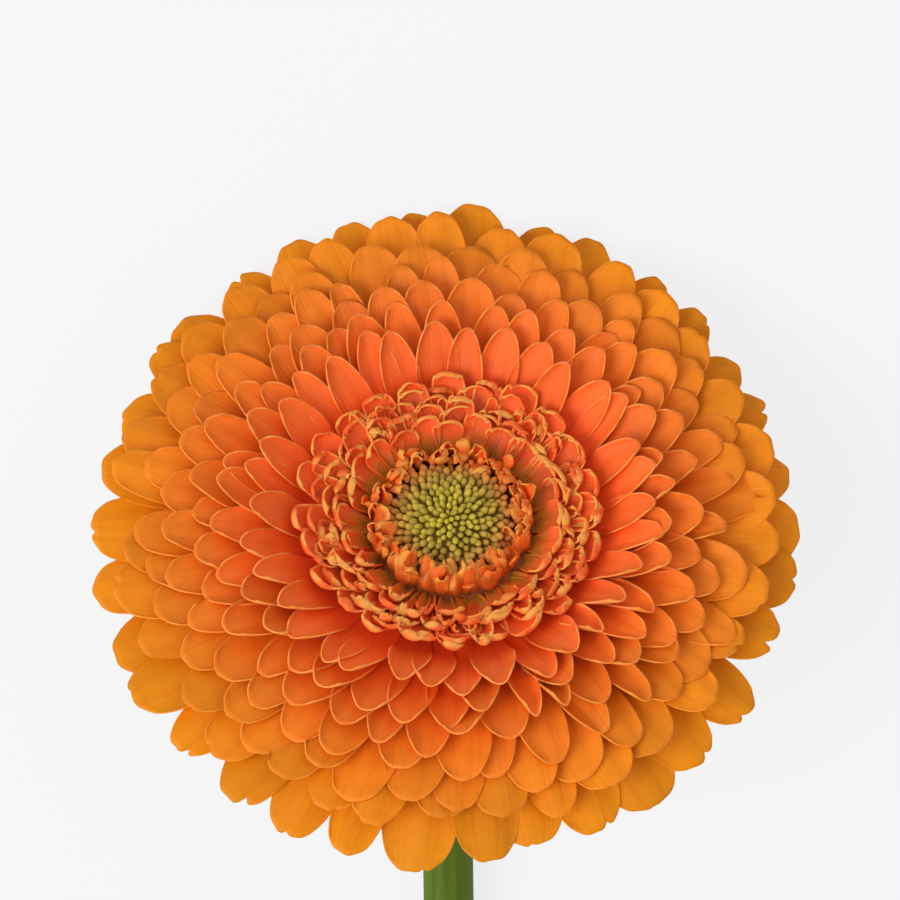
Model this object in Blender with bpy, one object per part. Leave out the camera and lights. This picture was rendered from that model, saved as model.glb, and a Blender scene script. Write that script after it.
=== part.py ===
"""A cut gerbera daisy, fully double, lying on a flat surface.

The stem lies along -Y. The neck bends up from it, so the head leans on the petals of its far
rim and shows its face to someone who looks down. Sizes are in metres, with +Z up, and the
origin is the middle of the ground that the flower covers.

The head is worked out in its own frame first: its axis is +Z, and height 0 is the middle of
the disc. place() takes a point from there to where it lies on the surface.
"""

import math
import random
from collections import namedtuple

import bmesh
import bpy
from mathutils import Matrix, Vector

MM = 0.001

# Driving dimensions of the whole flower
HEAD_RADIUS = 45 * MM
HEAD_LEAN = math.radians(40)
HEAD_CENTRE = Vector((-0.2, 64.7, 27.5)) * MM
RIM_SHIFT = 4.7 * MM
RIM_SHIFT_START = 12 * MM
GAP = 0.3 * MM
SEED = 12

# The stem, from its swollen neck to its slanting cut
STEM_RADIUS = 3.5 * MM
STEM_SIDES = 12
NECK_SWELL = 1.14
NECK_STRAIGHT = 2 * MM
STEM_STRAIGHT = 130 * MM
STEM_BOW = 5 * MM
CUT_SLANT = math.radians(24)

# Heights on the head's axis where one piece ends and the next begins
HEAD_BASE = -16 * MM
CUP_TOP = -9 * MM
CORE_TOP = -5.8 * MM
PLATE_TOP = -4.2 * MM

# Radii of the pieces that carry the florets
CUP_RADIUS = 12.6 * MM
CORE_RADIUS = 16 * MM
PLATE_RADIUS = 12.8 * MM
DISC_RADIUS = 7.7 * MM
DISC_TOP = -0.9 * MM
DISC_EDGE = -2.6 * MM

# How many of each floret and bract there are
RAY_WHORLS = 7
RAYS_IN_WHORL = 34
CROWN_WHORLS = 3
CROWN_IN_WHORL = 24
TRUMPETS = 18
BUDS = 62
BRACT_ROWS = 2
BRACTS_IN_ROW = 21
GOLDEN_ANGLE = math.pi * (3 - math.sqrt(5))

# How much one blade differs from the next, at the most
REACH_SPREAD = 0.03
LIFT_SPREAD = 0.4 * MM
WIDTH_SPREAD = 0.07
SWING_SPREAD = math.radians(2.5)
ROLL_SPREAD = math.radians(6)
PITCH_SPREAD = 0.1

# Whorls that reach the surface lie on it one above the other
LAYER_STEP = 1.2 * MM

# The rings of a blade: a share of its length, and of its width
OUTER_RINGS = ((0.0, 0.15), (0.50, 0.64), (0.84, 1.0), (1.0, 0.52))
INNER_RINGS = ((0.0, 0.22), (0.72, 0.98), (1.0, 0.52))
INMOST_RINGS = ((0.0, 0.22), (0.42, 0.68), (0.74, 1.0), (1.0, 0.52))
CROWN_RINGS = ((0.0, 0.40), (0.55, 0.95), (1.0, 0.50))
BRACT_RINGS = ((0.0, 1.0), (0.55, 0.85), (1.0, 0.12))

Whorl = namedtuple(
    "Whorl", "root_radius root_height root_slope tip_radius tip_height tip_slope width rib"
)


def mix(first, last, share):
    return first + (last - first) * share


def clear_scene():
    for obj in list(bpy.data.objects):
        bpy.data.objects.remove(obj)


def new_collection(name):
    made = bpy.data.collections.new(name)
    bpy.context.scene.collection.children.link(made)
    return made


def new_material(name, colour, roughness):
    made = bpy.data.materials.new(name)
    made.use_nodes = True
    shader = made.node_tree.nodes["Principled BSDF"]
    shader.inputs["Base Color"].default_value = (*colour, 1)
    shader.inputs["Roughness"].default_value = roughness
    shader.inputs["Metallic"].default_value = 0
    return made


def new_object(name, bm, collection):
    """Makes an object of a bmesh, with its faces cut in triangles and turned outwards."""
    bmesh.ops.triangulate(bm, faces=bm.faces)
    bmesh.ops.recalc_face_normals(bm, faces=bm.faces)
    if bm.calc_volume(signed=True) < 0:
        bmesh.ops.reverse_faces(bm, faces=bm.faces)
    mesh = bpy.data.meshes.new(name)
    bm.to_mesh(mesh)
    bm.free()
    made = bpy.data.objects.new(name, mesh)
    collection.objects.link(made)
    return made


def place(point):
    """Takes a point from the head's frame to the surface. The far rim is pushed up by what it
    leans on, and the near rim hangs down by as much."""
    radius = math.hypot(point.x, point.y)
    reach = max(0.0, (radius - RIM_SHIFT_START) / (HEAD_RADIUS - RIM_SHIFT_START))
    shifted = Vector(point)
    if reach > 0:
        shifted.z += RIM_SHIFT * point.y / radius * reach**2
    return Matrix.Rotation(-HEAD_LEAN, 3, "X") @ shifted + HEAD_CENTRE


def blade_path(whorl, share, reach, lift):
    """(radius, height) and the way along at a share of a blade's length. Reach and lift move
    the tip from the whorl's own."""
    root = Vector((whorl.root_radius, whorl.root_height))
    tip = Vector((whorl.tip_radius + reach, whorl.tip_height + lift))
    handle = (tip - root).length * 0.38
    out = Vector((math.cos(whorl.root_slope), math.sin(whorl.root_slope))) * handle
    back = Vector((math.cos(whorl.tip_slope), math.sin(whorl.tip_slope))) * handle
    a, b, c, d = root, root + out, tip - back, tip
    rest = 1 - share
    point = a * rest**3 + b * (3 * rest**2 * share) + c * (3 * rest * share**2) + d * share**3
    along = (b - a) * rest**2 + (c - b) * (2 * rest * share) + (d - c) * share**2
    return point, along.normalized()


def blade(name, whorl, rings, angle, chance, collection, floor=None):
    """One petal or bract: a three-sided bar with a loop cut at each ring, bent to its path.
    Two of its edges are the margins. The third is the rib, which lies below them where the
    whorl's rib is negative. Chance holds the five random shares that make each its own."""
    reach_share, lift_share, width_share, swing_share, roll_share = chance
    reach = whorl.tip_radius * REACH_SPREAD * reach_share
    lift = LIFT_SPREAD * lift_share
    half_width = whorl.width / 2 * (1 + WIDTH_SPREAD * width_share)
    swing = Matrix.Rotation(SWING_SPREAD * swing_share, 3, "Z")
    turn = Matrix.Rotation(angle, 3, "Z")
    hinge = Vector((whorl.root_radius, 0, 0))

    bm = bmesh.new()
    bmesh.ops.create_cone(bm, cap_ends=True, segments=3, radius1=1, radius2=1, depth=1)
    sides = [e for e in bm.edges if abs(e.verts[0].co.z - e.verts[1].co.z) > 0.5]
    bmesh.ops.subdivide_edges(bm, edges=sides, cuts=len(rings) - 2, use_grid_fill=True)
    for vert in bm.verts:
        side = round(vert.co.x)
        raised = whorl.rib if side == 0 else 0
        share, width = rings[round((vert.co.z + 0.5) * (len(rings) - 1))]
        (radius, height), (out, up) = blade_path(whorl, share, reach, lift)
        offset = Vector((0, side * width * half_width, 0)) + Vector((-up, 0, out)) * raised
        roll = Matrix.Rotation(ROLL_SPREAD * roll_share * share, 3, Vector((out, 0, up)))
        point = Vector((radius, 0, height)) + roll @ offset
        vert.co = place(turn @ (swing @ (point - hinge) + hinge))
        if floor is not None:
            vert.co.z = max(vert.co.z, floor + raised + max(0.0, -whorl.rib))
    return new_object(name, bm, collection)


def turned_solid(name, profile, steps, collection):
    """A solid turned about the head's axis, from (radius, height) points on its outline that
    start and end on the axis."""
    bm = bmesh.new()
    line = [bm.verts.new((radius, 0, height)) for radius, height in profile]
    edges = [bm.edges.new(pair) for pair in zip(line, line[1:])]
    bmesh.ops.spin(
        bm,
        geom=line + edges,
        cent=(0, 0, 0),
        axis=(0, 0, 1),
        angle=math.tau,
        steps=steps,
        use_merge=True,
    )
    bmesh.ops.remove_doubles(bm, verts=bm.verts, dist=0.001 * MM)
    for vert in bm.verts:
        vert.co = place(vert.co)
    return new_object(name, bm, collection)


def keep_outer_shell(mesh):
    """Keeps the largest closed shell, so hollows that the union sealed are filled, and loose
    scraps are dropped."""
    bm = bmesh.new()
    bm.from_mesh(mesh)
    bmesh.ops.triangulate(bm, faces=bm.faces)
    unseen = set(bm.faces)
    shells = []
    while unseen:
        waiting = [unseen.pop()]
        shell = set(waiting)
        while waiting:
            face = waiting.pop()
            near = {f for edge in face.edges for f in edge.link_faces} & unseen
            unseen -= near
            shell |= near
            waiting += near
        shells.append(shell)

    def volume(shell):
        corners = ([vert.co for vert in face.verts] for face in shell)
        return sum(a.dot(b.cross(c)) for a, b, c in corners) / 6

    keep = max(shells, key=volume)
    bmesh.ops.delete(bm, geom=[face for face in bm.faces if face not in keep], context="FACES")
    bm.to_mesh(mesh)
    bm.free()


def fuse(core, repeats, material):
    """Joins the blades or buds of a collection to their core in one solid."""
    joint = core.modifiers.new("fuse", "BOOLEAN")
    joint.operation = "UNION"
    joint.operand_type = "COLLECTION"
    joint.collection = repeats
    joint.solver = "MANIFOLD"
    graph = bpy.context.evaluated_depsgraph_get()
    joined = bpy.data.meshes.new_from_object(core.evaluated_get(graph))
    core.modifiers.clear()
    core.data = joined
    keep_outer_shell(joined)
    joined.shade_smooth()
    joined.set_sharp_from_angle(angle=math.radians(28))
    joined.materials.clear()
    joined.materials.append(material)
    for obj in list(repeats.objects):
        bpy.data.objects.remove(obj)
    bpy.data.collections.remove(repeats)


def chances(rng):
    return [rng.uniform(-1, 1) for _ in range(5)]


def ray_whorl(number):
    """The large ray florets, from the outermost whorl, 0, to the innermost."""
    share = number / (RAY_WHORLS - 1)
    return Whorl(
        root_radius=mix(14.2, 13.4, share) * MM,
        root_height=mix(-8.0, -5.0, share) * MM,
        root_slope=math.radians(mix(18, 10, share)),
        tip_radius=mix(HEAD_RADIUS, 26 * MM, share),
        tip_height=mix(-5.2, 2.3, share**0.5) * MM,
        tip_slope=math.radians(mix(-6, 36, share)),
        width=mix(7.8, 4.9, share) * MM,
        rib=-0.65 * MM,
    )


def ray_rings(number):
    """The inmost whorl bends up round the crown, so it takes one ring more."""
    if number < 3:
        return OUTER_RINGS
    return INNER_RINGS if number < RAY_WHORLS - 1 else INMOST_RINGS


def crown_whorl(number):
    """The short florets that stand round the disc, with their tips hooked towards it."""
    share = number / (CROWN_WHORLS - 1)
    return Whorl(
        root_radius=mix(11.5, 10.3, share) * MM,
        root_height=-4.7 * MM,
        root_slope=math.radians(mix(44, 60, share)),
        tip_radius=mix(20.4, 14.2, share) * MM,
        tip_height=mix(0.5, -0.2, share) * MM,
        tip_slope=math.radians(mix(50, 100, share)),
        width=mix(4.6, 3.6, share) * MM,
        rib=-0.8 * MM,
    )


def trumpet(number):
    """The disc florets that have opened, leaning by turns away from the disc and over it."""
    inward = number % 2
    return Whorl(
        root_radius=mix(9.6, 8.9, inward) * MM,
        root_height=-4.8 * MM,
        root_slope=math.radians(80),
        tip_radius=mix(10.4, 8.4, inward) * MM,
        tip_height=0.2 * MM,
        tip_slope=math.radians(mix(70, 120, inward)),
        width=2.4 * MM,
        rib=-0.9 * MM,
    )


def bract_row(number):
    """The green scales under the head, from the lower row, 0, to the upper."""
    return Whorl(
        root_radius=mix(8.2, 11.0, number) * MM,
        root_height=mix(-13.9, -11.6, number) * MM,
        root_slope=math.radians(mix(24, 20, number)),
        tip_radius=mix(14.4, 18.6, number) * MM,
        tip_height=mix(-10.6, -8.6, number) * MM,
        tip_slope=math.radians(mix(42, 24, number)),
        width=mix(3.0, 3.4, number) * MM,
        rib=-0.8 * MM,
    )


def disc_height(radius):
    return mix(DISC_TOP, DISC_EDGE, (radius / DISC_RADIUS) ** 2)


def make_ray_florets(flower):
    profile = (
        (0, CUP_TOP + GAP),
        (CORE_RADIUS - 0.8 * MM, CUP_TOP + GAP),
        (CORE_RADIUS, -6.8 * MM),
        (CORE_RADIUS - 1.0 * MM, -4.4 * MM),
        (PLATE_RADIUS + GAP, -5.1 * MM),
        (PLATE_RADIUS + GAP, CORE_TOP),
        (0, CORE_TOP),
    )
    core = turned_solid("ray_florets", profile, RAYS_IN_WHORL, flower)
    repeats = new_collection("rays")
    rng = random.Random(SEED)
    pitch = math.tau / RAYS_IN_WHORL
    for number in range(RAY_WHORLS):
        whorl = ray_whorl(number)
        rings = ray_rings(number)
        for k in range(RAYS_IN_WHORL):
            chance = chances(rng)
            chance[1] = (1 - 2 * (k % 2)) * (0.7 + 0.3 * chance[1])
            angle = (k + number / 2 + PITCH_SPREAD * rng.uniform(-1, 1)) * pitch
            name = f"ray_{number}_{k}"
            blade(name, whorl, rings, angle, chance, repeats, floor=number * LAYER_STEP)
    fuse(core, repeats, new_material("petal_orange", (0.82, 0.22, 0.015), 0.5))


def make_crown_florets(flower):
    profile = (
        (0, CORE_TOP + GAP),
        (PLATE_RADIUS, CORE_TOP + GAP),
        (PLATE_RADIUS, PLATE_TOP),
        (0, PLATE_TOP),
    )
    core = turned_solid("crown_florets", profile, 36, flower)
    repeats = new_collection("crown")
    rng = random.Random(SEED + 1)
    pitch = math.tau / CROWN_IN_WHORL
    for number in range(CROWN_WHORLS):
        whorl = crown_whorl(number)
        for k in range(CROWN_IN_WHORL):
            chance = chances(rng)
            angle = (k + number / 2 + PITCH_SPREAD * rng.uniform(-1, 1)) * pitch
            blade(f"crown_{number}_{k}", whorl, CROWN_RINGS, angle, chance, repeats)
    pitch = math.tau / TRUMPETS
    for k in range(TRUMPETS):
        chance = chances(rng)
        angle = (k + PITCH_SPREAD * rng.uniform(-1, 1)) * pitch
        blade(f"trumpet_{k}", trumpet(k), CROWN_RINGS, angle, chance, repeats)
    fuse(core, repeats, new_material("petal_red_orange", (0.80, 0.14, 0.025), 0.5))


def make_disc_florets(flower):
    """The disc: a low dome with its buds in the spiral of a golden angle."""
    profile = (
        (0, PLATE_TOP + GAP),
        (DISC_RADIUS, PLATE_TOP + GAP),
        (DISC_RADIUS, disc_height(DISC_RADIUS)),
        (DISC_RADIUS / 2, disc_height(DISC_RADIUS / 2)),
        (0, disc_height(0)),
    )
    core = turned_solid("disc_florets", profile, 14, flower)
    repeats = new_collection("buds")
    for k in range(BUDS):
        share = math.sqrt((k + 0.5) / BUDS)
        radius = share * (DISC_RADIUS - 0.4 * MM)
        size = mix(0.60, 0.72, share) * MM
        turn = Matrix.Rotation(k * GOLDEN_ANGLE, 3, "Z")
        foot = Vector((radius, 0, disc_height(radius)))
        bm = bmesh.new()
        bmesh.ops.create_cone(
            bm, cap_ends=True, segments=5, radius1=size, radius2=size * 0.45, depth=size * 2.6
        )
        for vert in bm.verts:
            vert.co = place(turn @ (vert.co + foot))
        new_object(f"bud_{k}", bm, repeats)
    fuse(core, repeats, new_material("disc_green", (0.26, 0.23, 0.03), 0.6))


def make_involucre(flower):
    profile = (
        (0, HEAD_BASE),
        (STEM_RADIUS * NECK_SWELL, HEAD_BASE),
        (7.0 * MM, -15.0 * MM),
        (10.6 * MM, -12.8 * MM),
        (CUP_RADIUS, -10.6 * MM),
        (CUP_RADIUS - 0.6 * MM, CUP_TOP),
        (0, CUP_TOP),
    )
    core = turned_solid("involucre", profile, 28, flower)
    repeats = new_collection("bracts")
    rng = random.Random(SEED + 2)
    pitch = math.tau / BRACTS_IN_ROW
    for number in range(BRACT_ROWS):
        row = bract_row(number)
        for k in range(BRACTS_IN_ROW):
            chance = chances(rng)
            angle = (k + number / 2) * pitch
            blade(f"bract_{number}_{k}", row, BRACT_RINGS, angle, chance, repeats)
    fuse(core, repeats, new_material("bract_green", (0.10, 0.17, 0.02), 0.6))


def stem_line():
    """Points on the stem's axis with the swell at each: down from the head, round the bend of
    the neck, and along the surface in a slow bow."""
    rest_height = STEM_RADIUS * math.cos(math.pi / STEM_SIDES)
    lean = HEAD_LEAN - math.pi / 2
    away = Vector((0, math.cos(lean), -math.sin(lean)))
    top = place(Vector((0, 0, HEAD_BASE - GAP)))
    neck = top - away * NECK_STRAIGHT
    bend = (neck.z - rest_height) / (1 - math.cos(lean))
    line = [(top, NECK_SWELL), (neck, NECK_SWELL)]
    for share in (k / 9 for k in range(1, 10)):
        turn = lean * (1 - share)
        y = neck.y - bend * (math.sin(turn) - math.sin(lean))
        z = rest_height + bend * (1 - math.cos(turn))
        line.append((Vector((neck.x, y, z)), mix(NECK_SWELL, 1, min(1, share * 1.5))))
    foot = line[-1][0]
    for share in (k / 7 for k in range(1, 8)):
        line.append((foot + Vector((STEM_BOW * share**2, -STEM_STRAIGHT * share, 0)), 1))
    return line


def make_stem(flower):
    line = stem_line()
    curve = bpy.data.curves.new("stem_line", "CURVE")
    curve.dimensions = "3D"
    curve.bevel_depth = STEM_RADIUS
    curve.bevel_resolution = (STEM_SIDES - 4) // 2
    curve.use_fill_caps = True
    spline = curve.splines.new("POLY")
    spline.points.add(len(line) - 1)
    for spot, (point, swell) in zip(spline.points, line):
        spot.co = (*point, 1)
        spot.radius = swell
        spot.tilt = math.pi / STEM_SIDES
    guide = bpy.data.objects.new("stem_line", curve)
    flower.objects.link(guide)
    graph = bpy.context.evaluated_depsgraph_get()
    tube = bpy.data.meshes.new_from_object(guide.evaluated_get(graph))
    bpy.data.objects.remove(guide)

    bm = bmesh.new()
    bm.from_mesh(tube)
    bmesh.ops.remove_doubles(bm, verts=bm.verts, dist=0.001 * MM)
    cut = line[-1][0]
    for vert in bm.verts:
        if (vert.co - cut).length < STEM_RADIUS * 1.05:
            vert.co.y += (vert.co.z - cut.z) * math.tan(CUT_SLANT)
    stem = new_object("stem", bm, flower)
    stem.data.shade_smooth()
    stem.data.set_sharp_from_angle(angle=math.radians(40))
    stem.data.materials.append(new_material("stem_green", (0.11, 0.17, 0.01), 0.55))


def main():
    clear_scene()
    flower = new_collection("gerbera_daisy")
    make_ray_florets(flower)
    make_crown_florets(flower)
    make_disc_florets(flower)
    make_involucre(flower)
    make_stem(flower)


main()
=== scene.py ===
import math
import random

import bmesh
import bpy
from mathutils import Matrix, Vector
from mathutils.bvhtree import BVHTree


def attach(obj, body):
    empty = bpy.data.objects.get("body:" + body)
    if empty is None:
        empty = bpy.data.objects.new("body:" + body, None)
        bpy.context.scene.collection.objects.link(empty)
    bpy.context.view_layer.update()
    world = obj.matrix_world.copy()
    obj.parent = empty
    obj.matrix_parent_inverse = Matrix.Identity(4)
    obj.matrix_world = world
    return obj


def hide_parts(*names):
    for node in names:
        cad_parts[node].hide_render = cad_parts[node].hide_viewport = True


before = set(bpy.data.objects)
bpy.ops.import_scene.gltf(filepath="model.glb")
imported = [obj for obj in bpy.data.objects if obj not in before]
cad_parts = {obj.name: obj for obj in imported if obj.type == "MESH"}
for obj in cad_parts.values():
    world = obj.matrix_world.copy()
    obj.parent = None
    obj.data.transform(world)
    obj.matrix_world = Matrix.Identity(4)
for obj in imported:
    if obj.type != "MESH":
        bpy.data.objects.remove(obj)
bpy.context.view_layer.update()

mm = 0.001

# where the head lies and how it leans, as in the frame; from rimShiftStart outwards its rim also
# follows the photo: moved along the head's axis, to the left, and in at the top and bottom
head = {
    "radius": 45 * mm,
    "lean": math.radians(40),
    "centre": Vector((-0.2, 64.7, 27.5)) * mm,
    "rimShift": 4.7 * mm,
    "sideShift": 0.9 * mm,
    "squash": 0.016,
    "rimShiftStart": 12 * mm,
    "seed": 12,  # of the draws that the solids make too
    "ownSeed": 71,
    "extraSeed": 83,
    "budSeed": 95,
}

# tilt is from straight above, width is what the picture spans, and aside and above move the aim
# in pixels
camera = {
    "away": 0.56, "tilt": math.radians(12), "width": 0.114, "pixels": 900, "aside": -1, "above": 61,
    "sensor": 36,
}

lookBack = Vector((0, math.sin(camera["tilt"]), math.cos(camera["tilt"])))
lookUp = Vector((0, math.cos(camera["tilt"]), -math.sin(camera["tilt"])))
lookSide = Vector((1, 0, 0))
pixel = camera["width"] / camera["pixels"]
aim = head["centre"] + lookUp * camera["above"] * pixel + lookSide * camera["aside"] * pixel

cameraData = bpy.data.cameras.new("camera")
cameraData.sensor_width = camera["sensor"]
cameraData.lens = camera["sensor"] * camera["away"] / camera["width"]
cameraData.clip_start = 0.01
cameraData.clip_end = 20
cameraObject = bpy.data.objects.new("camera", cameraData)
bpy.context.scene.collection.objects.link(cameraObject)
cameraObject.matrix_world = (
    Matrix.Translation(aim + lookBack * camera["away"])
    @ Matrix((lookSide, lookUp, lookBack)).transposed().to_4x4()
)
bpy.context.scene.camera = cameraObject
bpy.context.scene.view_settings.view_transform = "Standard"
print("camera set")


# what all blades share: every petal, lip, hood and bract is one
blade = {
    "handle": 0.38,  # of the chord, for the curve of its middle line
    "reach": 0.03,  # how far a tip may lie off, as a share of its radius
    "width": 0.07,  # the same for its width
    "narrowWidth": 0.62,  # of the narrow ones, against the others
    "narrowCup": 0.6,  # how much higher their sides stand, in millimetres
    "sideCrowding": 1.5,  # how much closer the lines lie towards the margin, 1 is even
    "tipCrowding": 1.4,  # the same towards the tip
    "folds": 5,
    "waves": 8,
    "curledLength": 1.05,  # a blade that curls is that much longer
    "swing": math.radians(2.5),
    "roll": math.radians(6),
    "soft": 0.5 * mm,  # how far from its margin the lip starts, and from the floor the bend
    "shellLimit": 1.5,  # the most that the underside may lie away, in thicknesses
}


def mixed(first, last, share):
    return first + (last - first) * share


def placed(point):
    # from the head's own frame, with its axis along z, to where the head lies
    radius = math.hypot(point.x, point.y)
    start = head["rimShiftStart"]
    reach = max(0.0, (radius - start) / (head["radius"] - start))
    shifted = Vector(point)
    if reach > 0:
        shifted.z += head["rimShift"] * point.y / radius * reach**2
        shifted.x -= head["sideShift"] * reach**2
        shifted.y *= 1 - head["squash"] * reach**2
    return Matrix.Rotation(-head["lean"], 3, "X") @ shifted + head["centre"]


def bladeLength(whorl):
    return math.hypot(
        whorl["tipRadius"] - whorl["rootRadius"], whorl["tipHeight"] - whorl["rootHeight"]
    ) * mm


def bladeLine(whorl, share, reach=0, lift=0):
    # radius and height at a share of the blade's length, and the way along it
    root = Vector((whorl["rootRadius"], whorl["rootHeight"])) * mm
    tip = Vector((whorl["tipRadius"] * mm + reach, whorl["tipHeight"] * mm + lift))
    handle = (tip - root).length * blade["handle"]
    rootWay = math.radians(whorl["rootSlope"])
    tipWay = math.radians(whorl["tipSlope"])
    b = root + Vector((math.cos(rootWay), math.sin(rootWay))) * handle
    c = tip - Vector((math.cos(tipWay), math.sin(tipWay))) * handle
    rest = 1 - share
    point = root * rest**3 + b * (3 * rest**2 * share) + c * (3 * rest * share**2)
    along = (b - root) * rest**2 + (c - b) * (2 * rest * share) + (tip - c) * share**2
    return point + tip * share**3, along.normalized()


def curledLine(whorl, share, reach, lift, form, curl):
    # the same line, but from curlStart on it bends up by the angle curl, then goes straight on
    start = form["curlStart"]
    if share <= start or abs(curl) < 0.01:
        return bladeLine(whorl, share, reach, lift)
    point, along = bladeLine(whorl, start, reach, lift)
    rise = Vector((-along.y, along.x))
    length = bladeLength(whorl) * blade["curledLength"]
    bentShare = form["curlShare"] * (1 - start)
    gone = min(share - start, bentShare)
    turned = curl * gone / bentShare
    bend = length * bentShare / curl
    point = point + along * (bend * math.sin(turned)) + rise * (bend * (1 - math.cos(turned)))
    way = along * math.cos(turned) + rise * math.sin(turned)
    return point + way * (length * (share - start - gone)), way


def bladeWidth(form, share):
    # a long oval: blunt is 2 for a round tip, less for a pointed one and more for a square one
    if share < form["peak"]:
        return mixed(form["rootWidth"], 1, math.sin(math.pi / 2 * share / form["peak"]))
    past = (share - form["peak"]) / (1 - form["peak"])
    return (1 - past ** form["blunt"]) ** (1 / form["blunt"])


def bladeEnd(form, side):
    # the share of the length at which the tip's arc crosses a line that far to the side
    arc = (1 - abs(side * form["tipWidth"]) ** form["blunt"]) ** (1 / form["blunt"])
    return mixed(form["peak"], 1, arc)


def startBlades():
    bm = bmesh.new()
    marks = {name: bm.verts.layers.float.new(name) for name in ("along", "margin", "tone", "under")}
    marks["map"] = bm.loops.layers.uv.new("blade")
    return bm, marks


def growBlade(bm, marks, whorl, form, angle, chance, whims, floor=None):
    # chance is what the frame's blade draws, and whims are this one's smaller differences
    reachShare, liftShare, widthShare, swingShare, rollShare = chance
    reach = whorl["tipRadius"] * mm * blade["reach"] * reachShare
    reach += form["reachSpread"] * mm * whims[5]
    lift = form["lift"] * mm * liftShare
    halfWidth = whorl["width"] * mm * form["fullness"] / 2 * (1 + blade["width"] * widthShare)
    halfWidth *= 1 + form["widthSpread"] * whims[3]
    narrow = whims[1] > 1 - 2 * form["narrow"]
    halfWidth *= blade["narrowWidth"] if narrow else 1
    swing = Matrix.Rotation(blade["swing"] * swingShare, 3, "Z")
    swing = swing @ Matrix.Rotation(form["stray"] * whims[4], 3, "Z")
    turn = Matrix.Rotation(angle, 3, "Z")
    hinge = Vector((whorl["rootRadius"] * mm, 0, 0))
    length = bladeLength(whorl)
    curl = form["curl"] + form["curlSpread"] * whims[0]
    notchColumn = round(form["across"] * (0.5 + 0.2 * whims[1]))
    notch = form["notch"] * max(0.0, whims[2])

    made = bmesh.ops.create_grid(
        bm, x_segments=form["across"], y_segments=form["rows"], size=1
    )
    spots = {}
    for vert in made["verts"]:
        column = round((vert.co.x + 1) / 2 * form["across"])
        side = math.copysign(1 - (1 - abs(vert.co.x)) ** blade["sideCrowding"], vert.co.x)
        row = 1 - (1 - (vert.co.y + 1) / 2) ** blade["tipCrowding"]
        width = bladeWidth(form, row * bladeEnd(form, 1)) * halfWidth
        cutBack = notch * max(0.0, 1 - abs(column - notchColumn) / 1.4)
        cutBack += form["ragged"] * math.sin(side * 3.5 + whims[3] * 9) ** 2
        share = row * (bladeEnd(form, side) - cutBack * row**4)
        margin = min((1 - abs(side)) * width, (1 - row) * length * 0.95)

        rise = (form["cup"] + blade["narrowCup"] * narrow) * side**2
        rise += form["lip"] * max(0.0, 1 - margin / blade["soft"]) ** 2
        folded = math.cos(blade["folds"] * side + whims[4])
        rise += form["fold"] * folded * math.sin(math.pi * share) ** 0.7
        waved = math.sin(share * blade["waves"] + whims[1] * 5 + side * 1.5)
        rise += form["ruffle"] * side**2 * waved
        rise *= min(1.0, max(form["tubeRise"], (share - form["riseStart"]) / 0.3))
        (radius, height), (out, up) = curledLine(whorl, share, reach, lift, form, curl)
        offset = Vector((0, -side * width, 0)) + Vector((-up, 0, out)) * (rise * mm)
        roll = (blade["roll"] * rollShare + form["twist"] * whims[3]) * share
        offset = Matrix.Rotation(roll, 3, Vector((out, 0, up))) @ offset
        point = Vector((radius, 0, height)) + offset
        spot = placed(turn @ (swing @ (point - hinge) + hinge))
        if floor is not None:
            above = (spot.z - floor) / blade["soft"]
            if above < 20:
                spot.z = floor + blade["soft"] * math.log1p(math.exp(above))
        spots[vert] = (spot, side, share)
        vert[marks["along"]] = share
        vert[marks["margin"]] = margin / mm
        vert[marks["tone"]] = whims[5]
    for face in {face for vert in made["verts"] for face in vert.link_faces}:
        for loop in face.loops:
            _, side, share = spots[loop.vert]
            loop[marks["map"]].uv = (side / 2 + 0.5, share)
    for vert, (spot, _, _) in spots.items():
        vert.co = spot


def finishBlades(name, bm, marks, thickness, material, node):
    # a copy of each vertex keeps its number, so that no sharp fold can throw its underside far
    numbers = bm.verts.layers.int.new("number")
    tops = bm.verts[:]
    for number, vert in enumerate(tops):
        vert[numbers] = number
    bm.normal_update()
    made = bmesh.ops.solidify(bm, geom=bm.faces[:], thickness=thickness)
    for part in made["geom"]:
        if isinstance(part, bmesh.types.BMVert):
            part[marks["under"]] = 1
            top = tops[part[numbers]].co
            offset = part.co - top
            if offset.length > blade["shellLimit"] * thickness:
                part.co = top + offset * (blade["shellLimit"] * thickness / offset.length)
    bm.verts.layers.int.remove(bm.verts.layers.int["number"])
    finishPiece(name, bm, material, node)


def finishPiece(name, bm, material, node):
    mesh = bpy.data.meshes.new(name)
    bm.to_mesh(mesh)
    bm.free()
    mesh.shade_smooth()
    mesh.materials.append(material)
    piece = bpy.data.objects.new(name, mesh)
    bpy.context.scene.collection.objects.link(piece)
    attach(piece, "root")
    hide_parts(node)


def turnedShape(bm, profile, steps):
    # a closed shape turned about the head's axis from (radius, height) in millimetres
    line = [bm.verts.new((radius * mm, 0, height * mm)) for radius, height in profile]
    edges = [bm.edges.new(pair) for pair in zip(line, line[1:])]
    bmesh.ops.spin(
        bm, geom=line + edges, cent=(0, 0, 0), axis=(0, 0, 1), angle=math.tau, steps=steps,
        use_merge=True,
    )
    bmesh.ops.remove_doubles(bm, verts=bm.verts, dist=0.001 * mm)
    bmesh.ops.recalc_face_normals(bm, faces=bm.faces)
    for vert in bm.verts:
        vert.co = placed(vert.co)


def chances(rng):
    return [rng.uniform(-1, 1) for _ in range(5)]


def whims(rng):
    return [rng.uniform(-1, 1) for _ in range(6)]


def linearColour(red, green, blue):
    # from the 0 to 255 values of a screen
    return tuple((value / 255) ** 2.2 for value in (red, green, blue)) + (1.0,)


def newMaterial(name, roughness):
    material = bpy.data.materials.new(name)
    material.use_nodes = True
    shader = material.node_tree.nodes["Principled BSDF"]
    shader.inputs["Roughness"].default_value = roughness
    return material, material.node_tree, shader


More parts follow.
